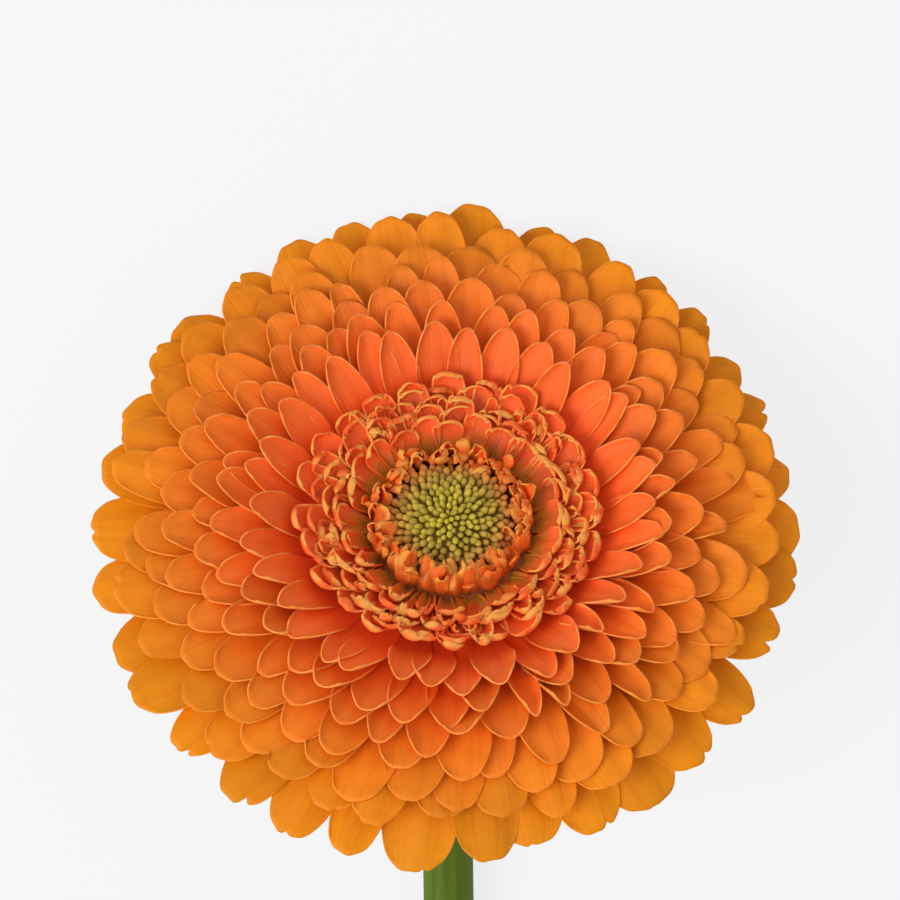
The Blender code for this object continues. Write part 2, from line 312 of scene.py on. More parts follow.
def addNode(tree, kind, place, **values):
    node = tree.nodes.new(kind)
    node.location = place
    for key, value in values.items():
        setattr(node, key, value)
    return node


def fillSockets(tree, node, names, values):
    for name, value in zip(names, values):
        if isinstance(value, bpy.types.NodeSocket):
            tree.links.new(value, node.inputs[name])
        else:
            node.inputs[name].default_value = value


def readMark(tree, name, place):
    node = addNode(tree, "ShaderNodeAttribute", place)
    node.attribute_name = name
    return node.outputs["Fac"]


def mapRange(tree, value, fromMin, fromMax, toMin, toMax, place):
    node = addNode(tree, "ShaderNodeMapRange", place, interpolation_type="SMOOTHSTEP")
    names = ("Value", "From Min", "From Max", "To Min", "To Max")
    fillSockets(tree, node, names, (value, fromMin, fromMax, toMin, toMax))
    return node.outputs["Result"]


def mixColours(tree, share, first, last, place, blend="MIX"):
    node = addNode(tree, "ShaderNodeMix", place, data_type="RGBA", blend_type=blend)
    fillSockets(tree, node, (0, 6, 7), (share, first, last))
    return node.outputs[2]


def calculate(tree, operation, first, second, place):
    node = addNode(tree, "ShaderNodeMath", place, operation=operation)
    fillSockets(tree, node, (0, 1), (first, second))
    return node.outputs[0]


# the look that all petals share
petalLook = {
    "fibreScale": (34, 1.6, 1),  # across and along the blade
    "fibreColour": (0.62, 0.09, 0.008, 1),
    "grooveAt": 0.16,  # from the middle, as a share of the width
    "grooveWidth": 0.06,
    "mottleScale": 420,
    "roughness": (0.46, 0.6),
    "gloss": 0.18,
    "scatter": (1.0, 0.4, 0.12),  # for red, green and blue
    "scatterScale": 1.0 * mm,
    "bumpStrength": 0.6,
    "bumpDepth": 0.16 * mm,
}


def makePetalSkin():
    # lengthwise fibres, a pair of grooves, mottling and a pale margin, for every floret; the pale
    # margin is painted highlight along the raised rims and the folded-over tips
    group = bpy.data.node_groups.new("petalSkin", "ShaderNodeTree")
    sockets = group.interface
    for name, kind, value in (
        ("Root Colour", "NodeSocketColor", (0.8, 0.12, 0.02, 1)),
        ("Tip Colour", "NodeSocketColor", (0.85, 0.25, 0.02, 1)),
        ("Margin Colour", "NodeSocketColor", (0.9, 0.4, 0.13, 1)),
        ("Under Colour", "NodeSocketColor", (0.85, 0.35, 0.1, 1)),
        ("Margin Width", "NodeSocketFloat", 0.25),
        ("Margin Strength", "NodeSocketFloat", 0.8),
        ("Ramp Start", "NodeSocketFloat", 0.25),
        ("Ramp End", "NodeSocketFloat", 0.95),
        ("Fibres", "NodeSocketFloat", 0.12),
    ):
        sockets.new_socket(name, in_out="INPUT", socket_type=kind).default_value = value
    sockets.new_socket("Colour", in_out="OUTPUT", socket_type="NodeSocketColor")
    sockets.new_socket("Roughness", in_out="OUTPUT", socket_type="NodeSocketFloat")
    sockets.new_socket("Height", in_out="OUTPUT", socket_type="NodeSocketFloat")
    given = addNode(group, "NodeGroupInput", (-1400, 0)).outputs
    result = addNode(group, "NodeGroupOutput", (900, 0)).inputs
    link = group.links.new

    along = readMark(group, "along", (-1400, 500))
    margin = readMark(group, "margin", (-1400, 650))
    tone = readMark(group, "tone", (-1400, 800))
    under = readMark(group, "under", (-1400, 950))

    uv = addNode(group, "ShaderNodeUVMap", (-1400, -400))
    uv.uv_map = "blade"
    stretch = addNode(group, "ShaderNodeMapping", (-1200, -400), vector_type="POINT")
    stretch.inputs["Scale"].default_value = petalLook["fibreScale"]
    link(uv.outputs["UV"], stretch.inputs["Vector"])
    fibre = addNode(group, "ShaderNodeTexNoise", (-1000, -400), noise_dimensions="4D")
    fibre.inputs["Scale"].default_value = 1
    fibre.inputs["Detail"].default_value = 3
    link(stretch.outputs["Vector"], fibre.inputs["Vector"])
    link(calculate(group, "MULTIPLY", tone, 40, (-1200, -600)), fibre.inputs["W"])

    split = addNode(group, "ShaderNodeSeparateXYZ", (-1200, -800))
    link(uv.outputs["UV"], split.inputs[0])
    offCentre = calculate(group, "ABSOLUTE", calculate(
        group, "SUBTRACT", split.outputs["X"], 0.5, (-1000, -800)), 0, (-850, -800))
    fromGroove = calculate(group, "ABSOLUTE", calculate(
        group, "SUBTRACT", offCentre, petalLook["grooveAt"], (-700, -800)), 0, (-550, -800))
    groove = mapRange(group, fromGroove, 0, petalLook["grooveWidth"], 0.5, 0, (-400, -800))

    place = addNode(group, "ShaderNodeTexCoord", (-1400, -1000))
    mottle = addNode(group, "ShaderNodeTexNoise", (-1000, -1000))
    mottle.inputs["Scale"].default_value = petalLook["mottleScale"]
    mottle.inputs["Detail"].default_value = 4
    link(place.outputs["Object"], mottle.inputs["Vector"])

    ramp = mapRange(group, along, given["Ramp Start"], given["Ramp End"], 0, 1, (-700, 500))
    colour = mixColours(group, ramp, given["Root Colour"], given["Tip Colour"], (-500, 300))
    colour = mixColours(group, under, colour, given["Under Colour"], (-300, 300))
    streak = mapRange(group, fibre.outputs["Fac"], 0.35, 0.7, 0, 1, (-700, -400))
    darker = calculate(group, "MULTIPLY", streak, given["Fibres"], (-500, -400))
    darker = calculate(
        group, "ADD", darker, calculate(group, "MULTIPLY", groove, given["Fibres"], (-400, -600)),
        (-300, -500))
    colour = mixColours(group, darker, colour, petalLook["fibreColour"], (-100, 300))
    patches = mapRange(group, mottle.outputs["Fac"], 0.3, 0.7, 0.95, 1.03, (-700, -1000))
    toned = calculate(group, "MULTIPLY", patches, mapRange(
        group, tone, -1, 1, 0.92, 1.06, (-700, 800)), (-500, -1000))
    colour = mixColours(group, 1.0, colour, toned, (100, 300), "MULTIPLY")
    # the pale margin is painted highlight; on the underside it is seven times as wide, where the
    # tips fold over and catch the light
    wider = mapRange(group, under, 0, 1, 1, 7, (-700, 950))
    rim = calculate(group, "DIVIDE", margin, calculate(
        group, "MULTIPLY", wider, given["Margin Width"], (-500, 800)), (-300, 650))
    rim = mapRange(group, rim, 0.3, 1, 1, 0, (-100, 650))
    rim = calculate(group, "MULTIPLY", rim, calculate(
        group, "MULTIPLY", given["Margin Strength"], mapRange(
            group, along, 0.4, 0.65, 0, 1, (-500, 1100)), (-300, 900)), (100, 650))
    unevenHighlight = mapRange(group, mottle.outputs["Fac"], 0.4, 0.57, 0.2, 1, (100, 800))
    rim = calculate(group, "MULTIPLY", rim, unevenHighlight, (250, 650))
    colour = mixColours(group, rim, colour, given["Margin Colour"], (400, 300))
    link(colour, result["Colour"])

    rough = mapRange(
        group, mottle.outputs["Fac"], 0.3, 0.7, *petalLook["roughness"], (400, -200))
    link(rough, result["Roughness"])
    height = calculate(group, "SUBTRACT", calculate(
        group, "MULTIPLY", fibre.outputs["Fac"], 0.6, (100, -400)), calculate(
        group, "MULTIPLY", groove, 0.5, (100, -600)), (400, -500))
    link(height, result["Height"])
    return group


petalSkin = makePetalSkin()


def petalMaterial(
    name, colours, marginWidth, marginStrength, ramp=(0.25, 0.95), fibres=0.15, glow=0
):
    material, tree, shader = newMaterial(name, 0.5)
    shader.inputs["Specular IOR Level"].default_value = petalLook["gloss"]
    shader.inputs["Subsurface Weight"].default_value = glow
    shader.inputs["Subsurface Radius"].default_value = petalLook["scatter"]
    shader.inputs["Subsurface Scale"].default_value = petalLook["scatterScale"]
    skin = addNode(tree, "ShaderNodeGroup", (-500, 0))
    skin.node_tree = petalSkin
    for part, colour in zip(("Root", "Tip", "Margin", "Under"), colours):
        skin.inputs[part + " Colour"].default_value = colour
    skin.inputs["Margin Width"].default_value = marginWidth
    skin.inputs["Margin Strength"].default_value = marginStrength
    skin.inputs["Fibres"].default_value = fibres
    skin.inputs["Ramp Start"].default_value, skin.inputs["Ramp End"].default_value = ramp
    bump = addNode(tree, "ShaderNodeBump", (-250, -200))
    bump.inputs["Strength"].default_value = petalLook["bumpStrength"]
    bump.inputs["Distance"].default_value = petalLook["bumpDepth"]
    tree.links.new(skin.outputs["Height"], bump.inputs["Height"])
    tree.links.new(skin.outputs["Colour"], shader.inputs["Base Color"])
    tree.links.new(skin.outputs["Roughness"], shader.inputs["Roughness"])
    tree.links.new(bump.outputs["Normal"], shader.inputs["Normal"])
    return material


def mottledMaterial(name, roughness, scale, first, last):
    material, tree, shader = newMaterial(name, roughness)
    coordinates = addNode(tree, "ShaderNodeTexCoord", (-800, 0))
    noise = addNode(tree, "ShaderNodeTexNoise", (-600, 0))
    noise.inputs["Scale"].default_value = scale
    tree.links.new(coordinates.outputs["Object"], noise.inputs["Vector"])
    colour = mixColours(tree, noise.outputs["Fac"], first, last, (-300, 0))
    tree.links.new(colour, shader.inputs["Base Color"])
    return material


def mixedColour(first, last, share):
    return tuple(mixed(a, b, share) for a, b in zip(first, last))


# the large ray florets: seven whorls of 34, each at half a pitch from the one before
rays = {
    "whorls": 7,
    "inWhorl": 34,
    "layerStep": 1.2 * mm,
    "thickness": 0.2 * mm,
    "clearance": 0.28 * mm,  # kept under the whorls above
    "pressed": 1.6 * mm,  # the most that stands out through them and is pressed down
    "settleFrom": 0.35,  # of the petal's length
    "lowest": 0.3 * mm,  # above the floor, for a petal that is pressed down
    "floorGap": 0.4 * mm,  # above the floor, for the lowest whorl
    "marginWidth": 0.11,
    "outerTip": linearColour(228, 137, 8),
    "innerTip": linearColour(250, 112, 46),
    # darker, redder roots: partly the petals' own colour, partly painted shade where the whorls lie
    # over one another near the base
    "outerRoot": linearColour(226, 112, 12),
    "innerRoot": linearColour(248, 82, 34),
    # the margin colours are painted highlight on the raised rims
    "outerMargin": linearColour(242, 152, 44),
    "innerMargin": linearColour(255, 160, 90),
    "under": linearColour(244, 146, 50),
}


def rayWhorl(number):
    share = number / (rays["whorls"] - 1)
    return {
        "rootRadius": mixed(14.2, 13.4, share),
        "rootHeight": mixed(-8.0, -5.0, share),
        "rootSlope": mixed(18, 10, share),
        "tipRadius": mixed(45, 26, share),
        "tipHeight": mixed(-5.2, 2.3, share**0.5),
        "tipSlope": mixed(-6, 36, share),
        "width": mixed(7.8, 4.9, share),
    }


# a form says how a whorl's blades look. notch and ragged cut into the tip by shares of the length;
# cup, lip, fold and ruffle raise the sides, the margin, folds along the blade and waves, in
# millimetres; curl, twist and stray are angles, and a spread is how far one blade may lie off
def rayForm(number):
    share = number / (rays["whorls"] - 1)
    return {
        "across": 18 if number < 2 else 12,
        "rows": 14 if number < 2 else 12,
        "fullness": mixed(1.14, 1.02, share),
        "rootWidth": 0.3,
        "peak": mixed(0.76, 0.6, share),
        "blunt": mixed(2.3, 1.8, share),
        "tipWidth": mixed(0.72, 0.5, share),
        "notch": mixed(0.045, 0.0, min(1, share * 2.5)),
        "ragged": mixed(0.006, 0.004, share),
        "cup": mixed(-0.35, 0.7, min(1, share * 1.5)),
        "lip": mixed(0.05, 0.1, share),
        "fold": mixed(0.34, 0.14, share),
        "ruffle": mixed(0.3, 0.1, share),
        "widthSpread": mixed(0.17, 0.15, share),
        "narrow": 0.08 if number > 1 else 0,
        "tubeRise": 0.1,
        "riseStart": mixed(0.5, 0.35, share),
        "lift": 0.3,
        "reachSpread": mixed(0.1, 1.4, min(1, share * 3)),
        "curlStart": 0.55,
        "curlShare": 1.0,
        "curl": mixed(-0.1, 0.05, share),
        "curlSpread": mixed(0.14, 0.22, min(1, share * 3)),
        "twist": 0.16,
        "stray": mixed(0.03, 0.075, min(1, share * 3)),
    }


def settle(bm, marks, uppers):
    # what stands out through a petal of a whorl above is pressed down under it
    axis = Matrix.Rotation(-head["lean"], 3, "X") @ Vector((0, 0, 1))
    for vert in bm.verts:
        if vert[marks["along"]] < rays["settleFrom"]:
            continue
        for upper in uppers:
            start = vert.co + axis * rays["clearance"]
            hit = upper.ray_cast(start, -axis, rays["pressed"])[0]
            if hit is not None:
                vert.co = hit - axis * rays["clearance"]
                vert.co.z = max(vert.co.z, rays["lowest"])


rng = random.Random(head["seed"])
ownRng = random.Random(head["ownSeed"])
whorls = []
for number in range(rays["whorls"]):
    bm, marks = startBlades()
    whorl, form = rayWhorl(number), rayForm(number)
    for k in range(rays["inWhorl"]):
        chance = chances(rng)
        chance[1] = (1 - 2 * (k % 2)) * (0.7 + 0.3 * chance[1])
        angle = (k + number / 2 + 0.1 * rng.uniform(-1, 1)) * math.tau / rays["inWhorl"]
        floor = number * rays["layerStep"] + rays["floorGap"]
        growBlade(bm, marks, whorl, form, angle, chance, whims(ownRng), floor)
    whorls.append((bm, marks))
uppers = []
for bm, marks in whorls[::-1]:
    settle(bm, marks, uppers[:2])
    uppers.insert(0, BVHTree.FromBMesh(bm))
for number, (bm, marks) in enumerate(whorls):
    share = number / (rays["whorls"] - 1)
    colours = [
        mixedColour(rays["outer" + part], rays["inner" + part], share)
        for part in ("Root", "Tip", "Margin")
    ]
    # how strongly the margins' painted highlight shows, stronger towards the inner whorls
    marginHighlight = mixed(0.3, 0.7, share**0.6)
    material = petalMaterial(
        f"rayPetal{number + 1}", (*colours, rays["under"]), rays["marginWidth"], marginHighlight
    )
    finishBlades(
        f"rayWhorl{number + 1}", bm, marks, rays["thickness"], material, "ray_florets"
    )
print("ray florets made")

# the ring that the ray florets' tubes are fused in, hidden but for its underside
base = {
    "profile": (
        (0, -8.7), (12.4, -8.7), (15.2, -8.4), (16.2, -7.2), (15.4, -5.4), (12.9, -5.3), (0, -5.6),
    ),
    "steps": 48, "deep": linearColour(150, 110, 40), "pale": linearColour(190, 120, 50),
}
bm = bmesh.new()
turnedShape(bm, base["profile"], base["steps"])
baseMaterial = mottledMaterial("petalTubes", 0.6, 900, base["deep"], base["pale"])
finishPiece("rayBase", bm, baseMaterial, "ray_florets")

# the crown of short florets round the disc, with their tips folded over; each of its two pieces
# has its own root colour and its whorls, 0 the outermost and 2 the innermost
crown = {
    "inWhorl": 24,
    "thickness": 0.2 * mm,
    "marginWidth": 0.19,
    "marginStrength": 0.8,
    "ramp": (0.15, 0.6),
    "fibres": 0.06,
    "glow": 0.4,
    # the outer piece's deep red root is partly the florets' own colour, partly painted shade
    # between them near the base
    "outerRoot": linearColour(246, 68, 24),
    "innerRoot": linearColour(178, 116, 38),
    "tip": linearColour(255, 102, 46),
    # painted highlight on the rims and the folded-over tips
    "margin": linearColour(255, 177, 88),
    "under": linearColour(246, 82, 34),
}
crownPieces = (("crownFlorets", "outerRoot", (0, 1, 0.5)), ("innerCrown", "innerRoot", (2, 1.5)))


def crownWhorl(number):
    share = number / 2
    return {
        "rootRadius": mixed(11.5, 10.3, share),
        "rootHeight": -4.7,
        "rootSlope": mixed(44, 60, share),
        "tipRadius": mixed(20.4, 14.2, share),
        "tipHeight": mixed(0.5, -0.2, share),
        "tipSlope": mixed(50, 100, share),
        "width": mixed(4.6, 3.6, share),
    }


def crownForm(number):
    share = number / 2
    return {
        "across": 8,
        "rows": 16,
        "fullness": mixed(0.95, 1.05, share),
        "rootWidth": 0.4,
        "peak": 0.62,
        "blunt": 2.2,
        "tipWidth": 0.62,
        "notch": 0.05,
        "ragged": 0.008,
        "cup": mixed(0.75, 0.6, share),
        "lip": 0.12,
        "fold": 0.06,
        "ruffle": 0.2,
        "tubeRise": 0.6,
        "riseStart": 0.25,
        "lift": 0.4,
        "reachSpread": 0.4,
        "curlStart": mixed(0.87, 0.84, share),
        "curlShare": 0.4,
        "curl": mixed(1.6, 1.3, share),
        "curlSpread": 0.8,
        "twist": 0.25,
        "stray": 0.08,
        "widthSpread": 0.15,
        "narrow": 0.1,
    }


rng = random.Random(head["seed"] + 1)
extraRng = random.Random(head["extraSeed"])
for name, root, rows in crownPieces:
    bm, marks = startBlades()
    for number in rows:
        draws = rng if number == int(number) else extraRng
        form = crownForm(number)
        for k in range(crown["inWhorl"]):
            chance = chances(draws)
            angle = (k + number / 2 + 0.1 * draws.uniform(-1, 1)) * math.tau / crown["inWhorl"]
            growBlade(bm, marks, crownWhorl(number), form, angle, chance, whims(ownRng))
    colours = [crown[part] for part in (root, "tip", "margin", "under")]
    crownMaterial = petalMaterial(
        name, colours, crown["marginWidth"], crown["marginStrength"], crown["ramp"],
        crown["fibres"], crown["glow"],
    )
    finishBlades(
        name, bm, marks, crown["thickness"], crownMaterial, "crown_florets"
    )
print("crown florets made")

# the crown florets' inner lips, short folded flaps that stand between the rows
lips = {
    "count": 34, "stride": 7, "width": 1.7, "inwards": 1.1, "lower": 0.1, "thickness": 0.18 * mm,
}
lipForm = {
    "across": 6, "rows": 12, "fullness": 1, "rootWidth": 0.4, "peak": 0.6, "blunt": 1.8,
    "tipWidth": 0.5, "notch": 0.1, "ragged": 0.02, "cup": 0.4, "lip": 0, "fold": 0.1,
    "ruffle": 0.3, "tubeRise": 1, "riseStart": 0, "lift": 0.5, "reachSpread": 0.5,
    "curlStart": 0.72, "curlShare": 0.5, "curl": 1.4, "curlSpread": 1.2, "twist": 0.9,
    "stray": 0.15, "widthSpread": 0.2, "narrow": 0,
}
bm, marks = startBlades()
for k in range(lips["count"]):
    whorl = crownWhorl(extraRng.uniform(0, 1.5))
    whorl["tipRadius"] -= lips["inwards"]
    whorl["tipHeight"] -= lips["lower"]
    whorl["width"] = lips["width"]
    angle = (k + 0.4 * extraRng.uniform(-1, 1)) * math.tau * lips["stride"] / lips["count"]
    growBlade(bm, marks, whorl, lipForm, angle, chances(extraRng), whims(extraRng))
finishBlades(
    "crownLips", bm, marks, lips["thickness"], crownMaterial, "crown_florets"
)

# the disc florets that have opened: short tubes that end flat, many small hoods and a few caps
opened = {
    "tubes": 18,
    "steps": 14,
    "flareFrom": 0.5,  # of the tube's length; from there on it grows flatter and wider
    "flatter": 0.8,
    "wider": 0.7,
    "tipSpread": 0.6,  # how far a tube's tip may lie off, in millimetres
    "slopeSpread": 20,  # the same for its slope there, in degrees
    "lipSpread": 1.4,  # and for the side that its lip is on, as an angle
    "reachSpread": 0.4 * mm,
    "liftSpread": 0.5 * mm,
    "hoods": 66,
    "caps": 6,
    "thickness": 0.15 * mm,
    "lip": 0.6 * mm,
    "lean": 0.35,  # how much further the hoods of the lower side reach over the disc
    "marginWidth": 0.12,
    "marginStrength": 0.7,
    "root": linearColour(160, 100, 28),
    "tip": linearColour(250, 104, 36),
    # painted highlight on the rims, the hoods' folds and the tubes' mouths
    "margin": linearColour(255, 180, 84),
    "under": linearColour(240, 106, 38),
}
# share of the tube's length, radius in millimetres
tubeProfile = (
    (0.0, 0.34), (0.35, 0.36), (0.55, 0.44), (0.7, 0.54), (0.8, 0.6), (0.88, 0.58),
    (0.95, 0.44), (0.98, 0.26), (1.0, 0.02),
)
hoodForm = {
    "across": 8, "rows": 14, "fullness": 1, "rootWidth": 0.35, "peak": 0.6, "blunt": 1.5,
    "tipWidth": 0.45, "notch": 0.22, "ragged": 0.05, "cup": 0.55, "lip": 0, "fold": 0.16,
    "ruffle": 0.3, "tubeRise": 0.6, "riseStart": 0.2, "lift": 0.9, "reachSpread": 0.7,
    "curlStart": 0.62, "curlShare": 0.6, "curl": 0.3, "curlSpread": 1.0, "twist": 1.1,
    "stray": 0.5, "widthSpread": 0.3, "narrow": 0,
}
capForm = {
    **hoodForm, "cup": 0.95, "curl": 1.7, "curlSpread": 0.5, "curlStart": 0.5, "curlShare": 0.8,
    "twist": 0.4, "stray": 0.1, "blunt": 2.4, "notch": 0,
}


def tubeWhorl(number):
    inward = number % 2
    return {
        "rootRadius": mixed(9.6, 8.9, inward),
        "rootHeight": -4.8,
        "rootSlope": 80,
        "tipRadius": mixed(10.4, 8.4, inward),
        "tipHeight": -0.3,
        "tipSlope": mixed(70, 120, inward),
    }


def growTube(bm, marks, whorl, angle, chance, whims):
    # a tube spun from its profile and bent to its path
    before = set(bm.verts)
    line = [bm.verts.new((radius, 0, share)) for share, radius in tubeProfile]
    edges = [bm.edges.new(pair) for pair in zip(line, line[1:])]
    bmesh.ops.spin(
        bm, geom=line + edges, cent=(0, 0, 0), axis=(0, 0, 1), angle=math.tau,
        steps=opened["steps"], use_merge=True,
    )
    whorl["tipRadius"] += opened["tipSpread"] * whims[0]
    whorl["tipSlope"] += opened["slopeSpread"] * whims[3]
    lipSide = math.pi + opened["lipSpread"] * whims[2]
    reach = opened["reachSpread"] * chance[0]
    lift = opened["liftSpread"] * chance[1]
    turn = Matrix.Rotation(angle, 3, "Z")
    for vert in bm.verts:
        if vert in before:
            continue
        share = vert.co.z
        facing = math.atan2(vert.co.y, vert.co.x)
        wide = math.hypot(vert.co.x, vert.co.y) * mm
        (radius, height), (out, up) = bladeLine(whorl, share, reach, lift)
        # round at its foot and flat at its tip
        flare = max(0.0, (share - opened["flareFrom"]) / (1 - opened["flareFrom"]))
        thin = math.cos(facing) * (1 - opened["flatter"] * flare)
        broad = math.sin(facing) * (1 + opened["wider"] * flare)
        outward = Vector((-up, 0, out)) * thin + Vector((0, broad, 0))
        lipShare = flare**2 * (0.5 + 0.5 * math.cos(facing - lipSide)) ** 3
        bend = (0.1 - 0.9 * whims[4]) * flare
        way = Vector((out, 0, up)) * math.cos(bend) + outward * math.sin(bend)
        point = Vector((radius, 0, height)) + outward * wide
        vert.co = placed(turn @ (point + way * (opened["lip"] * lipShare)))
        vert[marks["along"]] = 0.1 + 0.5 * share
        vert[marks["margin"]] = (1 - share) * 3
        vert[marks["tone"]] = whims[5]


bm, marks = startBlades()
for k in range(opened["tubes"]):
    chance = chances(rng)
    angle = (k + 0.1 * rng.uniform(-1, 1)) * math.tau / opened["tubes"]
    growTube(bm, marks, tubeWhorl(k), angle + 0.12 * ownRng.uniform(-1, 1), chance, whims(ownRng))
bmesh.ops.recalc_face_normals(bm, faces=bm.faces)
for k in range(opened["hoods"]):
    angle = (k + 0.45 * extraRng.uniform(-1, 1)) * math.tau / opened["hoods"]
    inward = extraRng.uniform(0, 1) + opened["lean"] * max(0.0, -math.sin(angle))
    whorl = {
        "rootRadius": 9.6,
        "rootHeight": -4.8,
        "rootSlope": 75,
        "tipRadius": mixed(10.8, 7.0, inward),
        "tipHeight": -0.1 + 0.8 * extraRng.uniform(-1, 1),
        "tipSlope": mixed(80, 135, inward),
        "width": 2.2,
    }
    growBlade(bm, marks, whorl, hoodForm, angle, chances(extraRng), whims(extraRng))
for k in range(opened["caps"]):
    whorl = {
        "rootRadius": 10.2,
        "rootHeight": -4.8,
        "rootSlope": 70,
        "tipRadius": 10.4 + 0.7 * extraRng.uniform(-1, 1),
        "tipHeight": -0.3 + 0.5 * extraRng.uniform(-1, 1),
        "tipSlope": 85,
        "width": 2.9,
    }
    angle = (k + 0.4 * extraRng.uniform(-1, 1)) * math.tau / opened["caps"]
    growBlade(bm, marks, whorl, capForm, angle, chances(extraRng), whims(extraRng))
openedColours = [opened[part] for part in ("root", "tip", "margin", "under")]
openedMaterial = petalMaterial(
    "openedFloret", openedColours, opened["marginWidth"], opened["marginStrength"], crown["ramp"],
    crown["fibres"], crown["glow"],
)
finishBlades(
    "openedFlorets", bm, marks, opened["thickness"], openedMaterial, "crown_florets"
)
print("opened florets made")

# the plate that the crown stands on, dark between the florets
plate = {
    "profile": ((0, -5.5), (12.7, -5.5), (13.0, -5.0), (12.8, -4.2), (0, -4.2)),
    "steps": 48, "deep": linearColour(120, 52, 14), "pale": linearColour(160, 90, 28),
}
bm = bmesh.new()
turnedShape(bm, plate["profile"], plate["steps"])
plateMaterial = mottledMaterial("receptacle", 0.7, 1100, plate["deep"], plate["pale"])
finishPiece("receptacle", bm, plateMaterial, "crown_florets")

# the disc, with its closed buds in the spiral of a golden angle
disc = {
    "radius": 7.7, "top": -0.9, "edge": -2.6, "buds": 230, "crowding": 0.56, "rimBuds": 40,
    "budSizes": (0.34, 0.55), "rimBudSize": 0.6, "budLeans": (0.7, 0.95), "rimBudLean": 0.35,
    "tall": 1.9, "club": 0.12, "domeRadius": 7.9, "domeSteps": 40, "sunk": 0.35,
    "middle": linearColour(190, 172, 54), "half": linearColour(184, 152, 60),
    "rim": linearColour(208, 130, 62), "outer": linearColour(238, 130, 54),
    "gap": linearColour(150, 116, 32), "gapDark": linearColour(110, 84, 30),
}


def discHeight(radius):
    return mixed(disc["top"], disc["edge"], (radius / disc["radius"]) ** 2)


bm = bmesh.new()
profile = [(0, -4.1), (disc["domeRadius"] + 0.1, -4.1)]
for k in range(8, -1, -1):
    radius = disc["domeRadius"] * k / 8
    profile.append((radius, discHeight(radius) - disc["sunk"]))
turnedShape(bm, profile, disc["domeSteps"])
domeMaterial = mottledMaterial("discDome", 0.7, 1500, disc["gap"], disc["gapDark"])
finishPiece("discDome", bm, domeMaterial, "disc_florets")

bm = bmesh.new()
budMarks = {name: bm.verts.layers.float.new(name) for name in ("fromMiddle", "tone", "top")}


def growBud(share, radius, height, turned, size, lean, tone):
    made = bmesh.ops.create_uvsphere(bm, u_segments=7, v_segments=6, radius=1)
    leaning = Matrix.Rotation(lean, 3, "Y")
    turn = Matrix.Rotation(turned, 3, "Z")
    foot = Vector((radius * mm, 0, height * mm))
    for vert in made["verts"]:
        up = vert.co.z
        vert[budMarks["fromMiddle"]] = share
        vert[budMarks["tone"]] = tone
        vert[budMarks["top"]] = up
        # fuller above than below, like a club
        full = size * (1 + disc["club"] * up)
        spot = Vector((vert.co.x * full, vert.co.y * full, up * size * disc["tall"])) * mm
        vert.co = placed(turn @ (leaning @ spot + foot))


budRng = random.Random(head["budSeed"])
for k in range(disc["buds"]):
    share = ((k + 0.5) / disc["buds"]) ** disc["crowding"]
    turned = k * math.pi * (3 - math.sqrt(5)) + 0.25 * budRng.uniform(-1, 1) / (1 + 6 * share)
    radius = share * (disc["radius"] - 0.1) + 0.1 * budRng.uniform(-1, 1)
    height = discHeight(radius) + 0.22 * budRng.uniform(-1, 1)
    size = mixed(*disc["budSizes"], share) * (1 + 0.14 * budRng.uniform(-1, 1))
    lean = 0.25 * budRng.uniform(-1, 1) + mixed(*disc["budLeans"], share)
    growBud(share, radius, height, turned, size, lean, budRng.uniform(-1, 1))
for k in range(disc["rimBuds"]):
    turned = (k + 0.3 * budRng.uniform(-1, 1)) * math.tau / disc["rimBuds"]
    radius = 8.3 + 0.75 * (k % 2) + 0.2 * budRng.uniform(-1, 1)
    height = -2.7 - 0.5 * (k % 2) + 0.3 * budRng.uniform(-1, 1)
    size = disc["rimBudSize"] * (1 + 0.15 * budRng.uniform(-1, 1))
    lean = disc["rimBudLean"] + 0.25 * budRng.uniform(-1, 1)
    growBud(1.15, radius, height, turned, size, lean, budRng.uniform(-1, 1))
budMaterial, tree, shader = newMaterial("discBud", 0.55)
shader.inputs["Specular IOR Level"].default_value = 0.3
shader.inputs["Subsurface Weight"].default_value = 0.1
shader.inputs["Subsurface Radius"].default_value = (0.6, 0.6, 0.1)
shader.inputs["Subsurface Scale"].default_value = 0.4 * mm
middle = readMark(tree, "fromMiddle", (-1200, 200))
colour = disc["middle"]
for part, start, end, x in (
    ("half", 0.3, 0.72, -800), ("rim", 0.66, 0.98, -650), ("outer", 0.98, 1.15, -500)
):
    colour = mixColours(
        tree, mapRange(tree, middle, start, end, 0, 1, (x - 200, 0)), colour, disc[part], (x, 200)
    )
# painted shade: each bud darkens towards its foot into the colour of the gaps between the buds, and
# is lightest on top
footShadeFade = mapRange(tree, readMark(tree, "top", (-1200, -200)), -0.5, 0.7, 0, 1, (-1000, -200))
colour = mixColours(tree, footShadeFade, disc["gap"], colour, (-400, 200))
toneShare = mapRange(tree, readMark(tree, "tone", (-1200, -400)), -1, 1, 0.8, 1.15, (-1000, -400))
colour = mixColours(tree, 1.0, colour, toneShare, (-200, 200), "MULTIPLY")
tree.links.new(colour, shader.inputs["Base Color"])
finishPiece("discBuds", bm, budMaterial, "disc_florets")
print("disc made")

